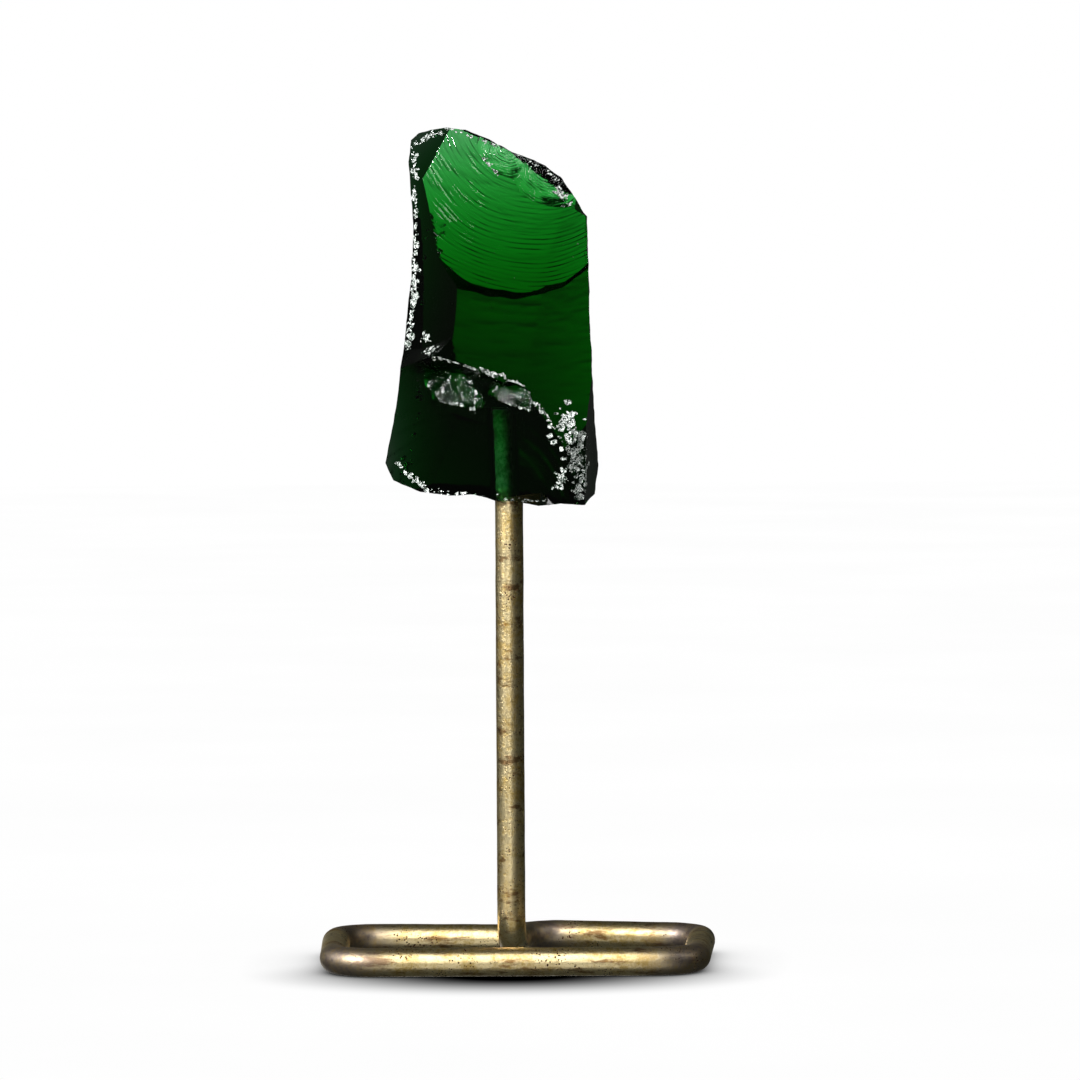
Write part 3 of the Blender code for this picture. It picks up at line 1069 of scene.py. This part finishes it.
    def blank(self) -> bpy.types.Object:
        """Builds the slab that the scars are taken from, with an uneven outer wall.

        Returns:
            The slab.
        """
        bm = bmesh.new()
        face = bm.faces.new([bm.verts.new((x, self.front, z)) for x, z in self.outline])
        slab = bmesh.ops.extrude_face_region(bm, geom=[face])["geom"]
        far = [item for item in slab if isinstance(item, bmesh.types.BMVert)]
        bmesh.ops.translate(bm, verts=far, vec=(0, self.back - self.front, 0))
        caps = [face for face in bm.faces if len(face.verts) > 4]
        bmesh.ops.delete(bm, geom=caps, context="FACES_ONLY")
        walls = [edge for edge in bm.edges if abs(edge.verts[0].co.y - edge.verts[1].co.y) > 1]
        bmesh.ops.subdivide_edges(bm, edges=walls, cuts=self.wall_cuts, use_grid_fill=True)
        round_the_outline = [edge for edge in bm.edges if abs(edge.verts[0].co.y - edge.verts[1].co.y) < 0.01]
        long_ones = [edge for edge in round_the_outline if edge.calc_length() > self.rim_edge]
        bmesh.ops.subdivide_edges(bm, edges=long_ones, cuts=self.rim_cuts, use_grid_fill=True)
        (slow, quick), (wide, narrow) = self.wave_rates, self.wave_sizes
        for vert in bm.verts:
            vert.co += drift_at(vert.co * slow) * wide + drift_at(vert.co * quick) * narrow
        rims = [edge for edge in bm.edges if edge.is_boundary]
        bmesh.ops.holes_fill(bm, edges=rims)
        return closed_piece("obsidian_stone", bm)

    def hole(self) -> bpy.types.Object:
        """Builds the cutter of the drilled hole.

        Returns:
            The cutter.
        """
        bm = bmesh.new()
        section = (
            (0.0, 0.0, self.hole_start),
            (self.hole_radius, 0.0, self.hole_start),
            (self.hole_radius, 0.0, self.hole_floor),
            (0.0, 0.0, self.hole_floor + self.hole_tip),
        )
        verts = [bm.verts.new(point) for point in section]
        edges = [bm.edges.new(pair) for pair in zip(verts, verts[1:])]
        turn_full(bm, verts + edges, self.hole_sides)
        return closed_piece("cut_hole", bm)

    def bites(self, stone: bpy.types.Object) -> list[Bite]:
        """Places the small bites on the stone's surface.

        Args:
            stone: the carved stone.

        Returns:
            The bites.
        """
        chance = random.Random(self.bite_seed)
        tree = surface_tree(stone)
        found = []
        for run in self.crumbles:
            for _ in range(run.count):
                spot = Vector(run.start).lerp(Vector(run.end), chance.random())
                spot += Vector([chance.gauss(0, run.spread * self.bite_stray) for _ in range(3)])
                place = Vector([round(part, self.bite_digits) for part in tree.find_nearest(spot)[0]])
                around = sorted(tree.find_nearest_range(place, self.bite_around), key=lambda hit: hit[2])
                normal = sum((hit[1] for hit in around), Vector()).normalized()
                size = run.small + (run.large - run.small) * chance.random() ** self.bite_fewer_large
                found.append(Bite(place + normal * size * chance.uniform(*self.bite_lift), normal, size))
        return found

    def batches(self, bites: list[Bite]) -> Iterator[list[Bite]]:
        """Sorts the bites so that none in a batch touches another.

        Args:
            bites: all the bites.

        Yields:
            One batch at a time.
        """
        waiting = list(bites)
        while waiting:
            batch, later = [], []
            for bite in waiting:
                clear = all(
                    (bite.centre - other.centre).length > self.bite_gap * (bite.size + other.size)
                    for other in batch
                )
                (batch if clear else later).append(bite)
            waiting = later
            yield batch

    def lump(self, bm: bmesh.types.BMesh, bite: Bite, chance: random.Random) -> None:
        """Adds the uneven, flattened lump that takes one bite.

        Args:
            bm: the cutter of the bite's batch.
            bite: the bite.
            chance: the source of its unevenness.
        """
        verts = bmesh.ops.create_icosphere(bm, subdivisions=1, radius=bite.size)["verts"]
        for vert in verts:
            vert.co *= chance.uniform(*self.lump_uneven)
        sizes = [chance.uniform(*span) for span in (self.lump_length, self.lump_width, self.lump_depth)]
        turn = Matrix.Rotation(chance.uniform(0, math.tau), 4, "Z")
        tilt = Matrix.Rotation(chance.gauss(0, self.lump_tilt), 4, "X")
        face = bite.normal.to_track_quat("Z", "Y").to_matrix().to_4x4()
        place = Matrix.Translation(bite.centre) @ face @ tilt @ turn @ Matrix.Diagonal((*sizes, 1))
        bmesh.ops.transform(bm, matrix=place, verts=verts)

    def crumble(self, stone: bpy.types.Object) -> None:
        """Takes the small bites out of the stone.

        Args:
            stone: the carved stone.
        """
        chance = random.Random(self.lump_seed)
        for batch in self.batches(self.bites(stone)):
            bm = bmesh.new()
            for bite in batch:
                self.lump(bm, bite, chance)
            carve(stone, closed_piece("cut_bites", bm))

    def build(self, finishes: list[bpy.types.Material]) -> bpy.types.Object:
        """Carves the stone and dresses it.

        Args:
            finishes: the glass, then the bruised glass of the chipped edges.

        Returns:
            The finished stone.
        """
        stone = self.blank()
        for scar in self.scars:
            carve(stone, scar.cutter(self.cutter_height, self.rim_depth))
        carve(stone, self.hole())
        before = surface_tree(stone)
        self.crumble(stone)
        self.finish(stone, before, finishes)
        return stone

    def finish(self, stone: bpy.types.Object, before: BVHTree, finishes: list[bpy.types.Material]) -> None:
        """Gives the bitten faces their finish, sets the shading and puts the mesh in the frame.

        Args:
            stone: the carved stone.
            before: the surface before the bites.
            finishes: the glass, then the bruised glass.
        """
        stone.data.materials.clear()
        for material in finishes:
            stone.data.materials.append(material)
        bm = bmesh.new()
        bm.from_mesh(stone.data)
        bmesh.ops.remove_doubles(bm, verts=bm.verts, dist=self.weld)
        bmesh.ops.dissolve_degenerate(bm, dist=self.weld, edges=bm.edges)
        bmesh.ops.triangulate(bm, faces=bm.faces)
        for face in bm.faces:
            away = before.find_nearest(face.calc_center_median())[3]
            face.material_index = 1 if away > self.bitten_from else 0
        bmesh.ops.transform(bm, matrix=to_frame(), verts=bm.verts)
        bm.to_mesh(stone.data)
        bm.free()
        stone.data.shade_smooth()
        stone.data.set_sharp_from_angle(angle=math.radians(self.sharp_angle))


# Wire stand


Ring = list[bmesh.types.BMEdge]


@dataclass
class WireStand:
    """The bent brass wire: an upright, a bend at the ground and a rounded loop that it stands on."""

    diameter: float = 4.25
    sides: int = 40
    top: float = 83.5
    bend_radius: float = 6.0
    foot_radius: float = 5.6
    bend_steps: int = 20
    run_step: float = 0.8
    eased: float = 0.35
    eased_steps: int = 3
    dent: float = 0.035
    dent_rates: Span = (0.22, 0.9)
    dent_quick: float = 0.45
    dent_inward: float = 0.5
    glued_above: float = 70.0
    tarnish_reach: float = 3.0
    tarnish_fade: float = 6.0
    sharp_angle: float = 50.0
    corners: tuple[tuple[float, float], ...] = (
        (1.5, 18.6), (29.0, 12.4), (27.1, -19.4), (-26.1, -19.4), (-26.7, 13.8),
    )
    free_end: tuple[float, float] = (-1.55, 11.8)
    bends: list[Vector] = field(default_factory=list)

    def path(self) -> list[Vector]:
        """Gives the corners of the wire's centreline after its top end.

        Returns:
            The points.
        """
        level = self.diameter / 2
        ground = [Vector((x, y, level)) for x, y in (*self.corners, self.free_end)]
        return [Vector((0, 0, level)), *ground]

    def build(self, finish: bpy.types.Material) -> bpy.types.Object:
        """Draws the wire from its top end to its free end.

        Args:
            finish: the brass.

        Returns:
            The finished wire.
        """
        bm = bmesh.new()
        here = Vector((0, 0, self.top))
        bmesh.ops.create_circle(
            bm, cap_ends=False, segments=self.sides, radius=self.diameter / 2, matrix=Matrix.Translation(here)
        )
        ring = list(bm.edges)
        ends = [ring]
        points = self.path()
        for index, corner in enumerate(points[:-1]):
            along = (corner - here).normalized()
            onward = (points[index + 1] - corner).normalized()
            radius = self.foot_radius if index == 0 else self.bend_radius
            turn_start = corner - along * radius * math.tan(along.angle(onward) / 2)
            ring = self._run(bm, ring, turn_start - here)
            ring, here = self._bend(bm, ring, turn_start, along, onward, radius)
        ends.append(self._run(bm, ring, points[-1] - here))
        for end in ends:
            self._round_end(bm, end)
        bmesh.ops.remove_doubles(bm, verts=bm.verts, dist=JOIN)
        bmesh.ops.recalc_face_normals(bm, faces=bm.faces)
        self._wear(bm)
        wire = new_piece("brass_wire", bm)
        self._mark(wire)
        wire.data.transform(to_frame())
        wire.data.materials.append(finish)
        wire.data.shade_smooth()
        wire.data.set_sharp_from_angle(angle=math.radians(self.sharp_angle))
        return wire

    def _run(self, bm: bmesh.types.BMesh, ring: Ring, step: Vector) -> Ring:
        """Draws the open end on by one straight run.

        Args:
            bm: the wire.
            ring: the open end's edges.
            step: the run.

        Returns:
            The new open end.
        """
        parts = max(1, round(step.length / self.run_step))
        for _ in range(parts):
            drawn = bmesh.ops.extrude_edge_only(bm, edges=ring)["geom"]
            verts = [item for item in drawn if isinstance(item, bmesh.types.BMVert)]
            bmesh.ops.translate(bm, verts=verts, vec=step / parts)
            ring = [item for item in drawn if isinstance(item, bmesh.types.BMEdge)]
        return ring

    def _bend(
        self,
        bm: bmesh.types.BMesh,
        ring: Ring,
        start: Vector,
        along: Vector,
        onward: Vector,
        radius: float,
    ) -> tuple[Ring, Vector]:
        """Turns the open end round one bend.

        Args:
            bm: the wire.
            ring: the open end's edges.
            start: the centreline's point where the bend starts.
            along: the direction before the bend.
            onward: the direction after it.
            radius: the centreline's radius.

        Returns:
            The new open end and the centreline's point there.
        """
        angle = along.angle(onward)
        inward = (onward - along * along.dot(onward)).normalized()
        centre = start + inward * radius
        axis = along.cross(onward).normalized()
        turned = bmesh.ops.spin(
            bm, geom=ring, cent=centre, axis=axis, angle=angle, steps=self.bend_steps
        )["geom_last"]
        end = centre + Matrix.Rotation(angle, 3, axis) @ (start - centre)
        self.bends.append(centre + Matrix.Rotation(angle / 2, 3, axis) @ (start - centre))
        return [item for item in turned if isinstance(item, bmesh.types.BMEdge)], end

    def _round_end(self, bm: bmesh.types.BMesh, ring: Ring) -> None:
        """Closes an end with a face and eases its edge.

        Args:
            bm: the wire.
            ring: the end's edges.
        """
        bmesh.ops.edgeloop_fill(bm, edges=ring)
        bmesh.ops.bevel(
            bm,
            geom=ring,
            offset=self.eased,
            offset_type="OFFSET",
            affect="EDGES",
            segments=self.eased_steps,
            profile=0.5,
            material=-1,
        )

    def _wear(self, bm: bmesh.types.BMesh) -> None:
        """Gives the wire the slight dents and waves of hand bending, and keeps it off the ground.

        Args:
            bm: the wire.
        """
        slow_rate, quick_rate = self.dent_rates
        apart = Vector((4, 0, 0))
        for vert in bm.verts:
            slow = noise.noise(vert.co * slow_rate)
            quick = noise.noise(vert.co * quick_rate + apart)
            vert.co += vert.normal * self.dent * (slow + self.dent_quick * quick - self.dent_inward)
            vert.co.z = max(vert.co.z, 0.0)

    def _mark(self, wire: bpy.types.Object) -> None:
        """Writes how near each point is to a bend, for the tarnish, and where the resin holds the stone.

        Args:
            wire: the wire, in millimetres.
        """
        tarnish = wire.data.attributes.new("bend", "FLOAT", "POINT")
        resin = wire.data.attributes.new("glue", "FLOAT", "POINT")
        for vert in wire.data.vertices:
            near = min((vert.co - bend).length for bend in self.bends[1:])
            past = max(0.0, near - self.tarnish_reach)
            tarnish.data[vert.index].value = max(0.0, 1.0 - past / self.tarnish_fade)
            resin.data[vert.index].value = min(1.0, max(0.0, vert.co.z - self.glued_above))


# Studio


@dataclass(frozen=True)
class SoftBox:
    """One soft box, aimed at the stone.

    Attributes:
        name: what it is called.
        place: where it hangs, in metres.
        size: its width and height, in metres.
        power: its power, in watts.
        wire_only: whether it lights the wire alone.
    """

    name: str
    place: Point
    size: Span
    power: float
    wire_only: bool = False


@dataclass
class Studio:
    """The floor, the light and the camera."""

    camera_shift: float = 4.6
    camera_distance: float = 900.0
    camera_height: float = 104.0
    look_height: float = 63.28
    roll: float = -0.3
    lens: float = 200.5
    floor_size: float = 4.0
    floor_colour: Colour = (0.8, 0.8, 0.8, 1.0)
    floor_grain: Span = (0.985, 1.0)
    shadow_middle: Span = (0.0, -19.0)
    shadow_reach: Span = (39.0, 26.0)
    shadow_fade: Span = (0.2, 1.05)
    contact_reach: float = 0.012
    room: Colour = (0.0325, 0.0375, 0.0325, 1.0)
    table_light: float = 0.95
    table_start: Span = (0.45, 0.6)
    table_sides: tuple[tuple[str, float, float], ...] = (
        ("X", -0.50, -0.34), ("X", 0.17, 0.05), ("Z", -0.46, -0.32), ("Z", 0.08, -0.26),
    )
    ground_light: float = 0.12
    ground_start: Span = (-0.15, -0.8)
    ground_hidden: float = 0.85
    lamp_aim: Point = (0.0, 0.0, 0.07)
    lamps: tuple[SoftBox, ...] = (
        SoftBox("wire_box", (-0.09, -0.80, 0.57), (0.40, 1.3), 4.8, wire_only=True),
        SoftBox("table_bounce", (0.0, -0.70, -0.36), (1.0, 0.5), 1.1, wire_only=True),
        SoftBox("wire_left_box", (-0.9, 0.1, 0.4), (0.4, 0.5), 2.0, wire_only=True),
        SoftBox("left_box", (-0.76, -0.64, 0.55), (0.45, 0.45), 23.0),
        SoftBox("veil_box", (0.25, -0.9, 0.95), (0.5, 0.25), 1.2),
        SoftBox("right_box", (1.0, -0.35, 0.75), (0.15, 0.15), 1.0),
    )
    bounces: int = 24
    bounces_through_glass: int = 20
    bounces_off_metal: int = 12

    def floor(self) -> bpy.types.Object:
        """Builds the pale floor, with the soft shadow of the loop's front drawn in its finish.

        Returns:
            The floor.
        """
        bm = bmesh.new()
        bmesh.ops.create_grid(bm, x_segments=4, y_segments=4, size=self.floor_size / 2)
        floor = new_piece("floor", bm)
        material, net, shader, place = new_material("pale_floor")
        net.tree.nodes.remove(shader)
        matt = net.feed(net.add("ShaderNodeBsdfDiffuse"), Color=self.floor_colour)
        # painted contact shade: ambient occlusion darkens the floor's glow near the wire
        contact_shade = net.feed(net.add("ShaderNodeAmbientOcclusion", samples=16), Distance=self.contact_reach)
        # painted shadow: a soft ellipse under the loop's front darkens the floor's glow
        middle = to_frame() @ Vector((*self.shadow_middle, 0.0))
        shrink = [1 / (reach * MM) for reach in self.shadow_reach]
        spot = net.feed(
            net.add("ShaderNodeMapping", vector_type="POINT"),
            Vector=place,
            Location=(-middle.x * shrink[0], -middle.y * shrink[1], 0.0),
            Scale=(*shrink, 0.0),
        )
        away = net.feed(net.add("ShaderNodeVectorMath", operation="LENGTH"), i0=spot.outputs[0])
        tone = net.maths("MULTIPLY", contact_shade.outputs["AO"], net.spread(away.outputs["Value"], *self.shadow_fade))
        grain = net.feed(net.add("ShaderNodeTexNoise"), Scale=40.0, Detail=4.0)
        level = net.maths("MULTIPLY", tone, net.spread(grain.outputs[0], 0.3, 0.7, *self.floor_grain))
        shine = net.feed(net.add("ShaderNodeEmission"), Color=WHITE, Strength=level)
        seen = net.add("ShaderNodeLightPath").outputs["Is Camera Ray"]
        both = net.feed(net.add("ShaderNodeMixShader"), i0=seen, i1=matt.outputs[0], i2=shine.outputs[0])
        net.feed(net.tree.nodes["Material Output"], Surface=both.outputs[0])
        floor.data.materials.append(material)
        floor.visible_glossy = False
        floor.visible_shadow = False
        floor.visible_transmission = False
        floor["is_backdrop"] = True
        return floor

    def world(self) -> None:
        """Sets the studio's surroundings: a light table behind and under the stone, and a dim room."""
        world = bpy.data.worlds.new("studio")
        bpy.context.scene.world = world
        world.use_nodes = True
        net = NodeTree(world.node_tree)
        around = net.add("ShaderNodeTexCoord").outputs["Generated"]
        way = net.feed(net.add("ShaderNodeSeparateXYZ"), Vector=around)
        path = net.add("ShaderNodeLightPath")
        table = net.spread(way.outputs["Y"], *self.table_start)
        for axis, low, high in self.table_sides:
            table = net.maths("MULTIPLY", table, net.spread(way.outputs[axis], low, high))
        table = net.maths("MULTIPLY", table, self.table_light)
        ground = net.spread(way.outputs["Z"], *self.ground_start, 0.0, self.ground_light)
        hidden = net.maths("MULTIPLY", path.outputs["Is Glossy Ray"], self.ground_hidden)
        ground = net.maths("MULTIPLY", ground, net.maths("SUBTRACT", 1.0, hidden))
        light = net.blend(1.0, self.room, table, "ADD")
        light = net.blend(1.0, light, ground, "ADD")
        net.feed(net.tree.nodes["Background"], Color=net.blend(path.outputs["Is Camera Ray"], light, WHITE))

    def lamp(self, box: SoftBox, wire: bpy.types.Object) -> None:
        """Adds one soft box.

        Args:
            box: the soft box.
            wire: the wire stand.
        """
        data = bpy.data.lights.new(box.name, "AREA")
        data.shape = "RECTANGLE"
        data.size, data.size_y = box.size
        data.energy = box.power
        lamp = bpy.data.objects.new(box.name, data)
        lamp.visible_transmission = False
        bpy.context.scene.collection.objects.link(lamp)
        toward = Vector(self.lamp_aim) - Vector(box.place)
        turn = toward.to_track_quat("-Z", "Y").to_matrix().to_4x4()
        lamp.matrix_world = Matrix.Translation(box.place) @ turn
        if box.wire_only:
            lit = bpy.data.collections.new(box.name + "_lights")
            lit.objects.link(wire)
            lamp.light_linking.receiver_collection = lit

    def camera(self) -> None:
        """Sets the camera where the photograph was taken from."""
        foot = Vector((*UPRIGHT_AXIS, 0.0))
        eye = (foot + Vector((self.camera_shift, -self.camera_distance, self.camera_height))) * MM
        target = (foot + Vector((self.camera_shift, 0.0, self.look_height))) * MM
        camera = bpy.data.objects.new("camera", bpy.data.cameras.new("camera"))
        bpy.context.scene.collection.objects.link(camera)
        turn = (target - eye).to_track_quat("-Z", "Y").to_matrix().to_4x4()
        roll = Matrix.Rotation(math.radians(self.roll), 4, "Z")
        camera.matrix_world = Matrix.Translation(eye) @ turn @ roll
        camera.data.lens = self.lens
        camera.data.clip_start = 0.01
        bpy.context.scene.camera = camera

    def build(self, wire: bpy.types.Object) -> None:
        """Builds the floor, the light and the camera, and sets how light is traced and shown.

        Args:
            wire: the wire stand, which has soft boxes of its own.
        """
        self.floor()
        self.world()
        for box in self.lamps:
            self.lamp(box, wire)
        self.camera()
        scene = bpy.context.scene
        scene.view_settings.view_transform = "Standard"
        scene.cycles.max_bounces = self.bounces
        scene.cycles.transmission_bounces = self.bounces_through_glass
        scene.cycles.glossy_bounces = self.bounces_off_metal


def dress(piece: bpy.types.Object, node: str, slot: Slot) -> None:
    """Hides the frame's node that a finished piece replaces, hangs the piece on the root body, and reports
    it.

    Args:
        piece: the finished piece.
        node: the frame's node that it replaces.
        slot: its material slot; not used.
    """
    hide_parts(node)
    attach(piece, "root")
    LOG.info("%s: %d faces", piece.name, len(piece.data.polygons))


def main() -> None:
    """Builds the object's two pieces and the studio around them."""
    logging.basicConfig(level=logging.INFO, format="%(message)s")
    effects = Effects()
    wire = WireStand().build(BrassFinish().build(effects))
    dress(wire, "wire_stand", Slot.BRASS)
    Studio().build(wire)
    stone = StoneChunk().build([GlassFinish().build(effects), BruisedFinish().build(effects)])
    dress(stone, "stone", Slot.GLASS)


if __name__ == "__main__":
    main()
    boxes = {"cad": CAD_BOX, "visual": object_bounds()}
    plain = {name: [list(map(float, corner)) for corner in box] for name, box in boxes.items()}
